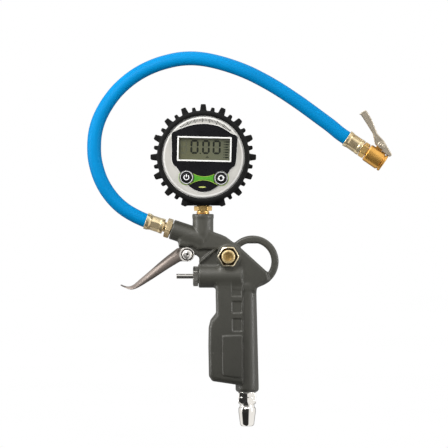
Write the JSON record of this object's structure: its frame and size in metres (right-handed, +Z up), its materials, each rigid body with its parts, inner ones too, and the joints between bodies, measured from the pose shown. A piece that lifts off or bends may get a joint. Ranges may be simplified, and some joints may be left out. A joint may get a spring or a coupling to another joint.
{
  "type": "tire inflator gun with digital pressure gauge",
  "caption": "Trigger-operated air inflator gun with a digital pressure gauge in a toothed rubber boot, a bleed button, a hanging eye and a blue hose ending in a clip-on tyre chuck.",
  "frame": {"origin": "centre of the bounding box in X and Y at the tip of the inlet plug, the lowest point", "axes": "+Z up from the inlet plug to the hose's crown, -Y the side with the display, +X towards the hanging eye and the chuck"},
  "size_m": [0.2436, 0.0315, 0.2995],
  "materials": {
    "cast_paint": "satin dark olive-grey paint on a rough casting",
    "bright_steel": "bright nickel-chrome plating",
    "spring_steel": "plain drawn wire and small screws",
    "brass": "turned brass",
    "brass_chuck": "golden turned brass",
    "brass_pale": "pale nickel-washed brass",
    "hose_blue": "smooth semi-gloss blue rubber",
    "black_rubber": "matte black rubber",
    "black_plastic": "fine-textured black plastic",
    "silver_plastic": "silver-painted plastic",
    "face_black": "printed black overlay",
    "trim_grey": "grey plastic trim",
    "white_frame": "white frame",
    "lcd_window": "clear window",
    "lcd_grey": "grey-green liquid crystal panel",
    "pcb_green": "green solder mask",
    "battery_wrap": "printed cell sleeve",
    "ribbon_amber": "polyimide ribbon",
    "zebra_pink": "soft connector strip"
  },
  "bodies": {
    "gun": {"gun_body": "cast_paint", "trigger_pin": "bright_steel", "trigger_pin_clip": "spring_steel", "gland_nut": "bright_steel", "gland_o_ring": "black_rubber", "valve_seat_cage": "brass", "valve_spring": "spring_steel", "inlet_plug": "bright_steel", "inlet_filter": "brass", "bleed_hex_body": "brass", "bleed_spring": "spring_steel", "gauge_stem": "brass", "stem_seal": "black_rubber", "gauge_boot": "black_rubber", "gauge_housing": "black_plastic", "case_screw_1": "spring_steel", "case_screw_2": "spring_steel", "case_screw_3": "spring_steel", "case_screw_4": "spring_steel", "gauge_front_shell": "silver_plastic", "face_panel": "face_black", "lcd_bezel": "white_frame", "lcd_lens": "lcd_window", "lcd_module": "lcd_grey", "zebra_connector": "zebra_pink", "main_pcb": "pcb_green", "on_key_ring": "trim_grey", "func_key_ring": "trim_grey", "on_key_switch": "black_plastic", "func_key_switch": "black_plastic", "battery_1": "battery_wrap", "battery_2": "battery_wrap", "battery_contact_left": "spring_steel", "battery_contact_right": "spring_steel", "pressure_sensor": "bright_steel", "sensor_ribbon": "ribbon_amber", "outlet_fitting": "brass_pale", "ferrule_1": "brass_pale", "hose_gun_half": "hose_blue"},
    "trigger": {"trigger": "bright_steel"},
    "valve_stem": {"valve_stem": "bright_steel", "valve_seal": "black_rubber"},
    "bleed_button": {"bleed_button": "brass", "bleed_seal": "black_rubber"},
    "on_key": {"on_key": "black_rubber"},
    "func_key": {"func_key": "black_rubber"},
    "battery_door": {"battery_door": "black_plastic", "battery_door_screw": "spring_steel"},
    "chuck_end": {"hose_chuck_half": "hose_blue", "ferrule_2": "brass_pale", "chuck_tail_fitting": "brass_pale", "chuck_body": "brass_chuck", "chuck_seal": "black_rubber", "depressor_pin": "brass", "chuck_lever_pin": "bright_steel", "chuck_lever_spring": "spring_steel"},
    "chuck_lever": {"chuck_lever": "bright_steel"}
  },
  "joints": [
    {"name": "trigger_pivot", "type": "hinge", "parent": "gun", "child": "trigger", "pos_m": [-0.0414, 0, 0.1372], "axis": [0, -1, 0], "range_deg": [0, 60]},
    {"name": "valve_stem_slide", "type": "slide", "parent": "gun", "child": "valve_stem", "axis": [1, 0, 0], "range_m": [0, 0.0044], "deforming": ["valve_spring"]},
    {"name": "bleed_button_slide", "type": "slide", "parent": "gun", "child": "bleed_button", "axis": [0, 1, 0], "range_m": [0, 0.0012], "stiffness_N_per_m": 1500, "deforming": ["bleed_spring"]},
    {"name": "on_key_press", "type": "slide", "parent": "gun", "child": "on_key", "axis": [0, 1, 0], "range_m": [0, 0.0006], "stiffness_N_per_m": 800},
    {"name": "func_key_press", "type": "slide", "parent": "gun", "child": "func_key", "axis": [0, 1, 0], "range_m": [0, 0.0006], "stiffness_N_per_m": 800},
    {"name": "battery_door_lift", "type": "slide", "parent": "gun", "child": "battery_door", "axis": [0, 1, 0], "range_m": [0, 0.01]},
    {"name": "hose_flex", "type": "hinge", "parent": "gun", "child": "chuck_end", "pos_m": [-0.033, 0, 0.294], "axis": [0, 1, 0], "range_deg": [-20, 20], "stiffness_Nm_per_rad": 1.5},
    {"name": "chuck_lever_pivot", "type": "hinge", "parent": "chuck_end", "child": "chuck_lever", "pos_m": [0.11364, 0, 0.22445], "axis": [0, -1, 0], "range_deg": [0, 20], "stiffness_Nm_per_rad": 0.2}
  ],
  "couplings": [
    {"joint": "valve_stem_slide", "follows": "trigger_pivot", "m_per_rad": 0.0042}
  ]
}
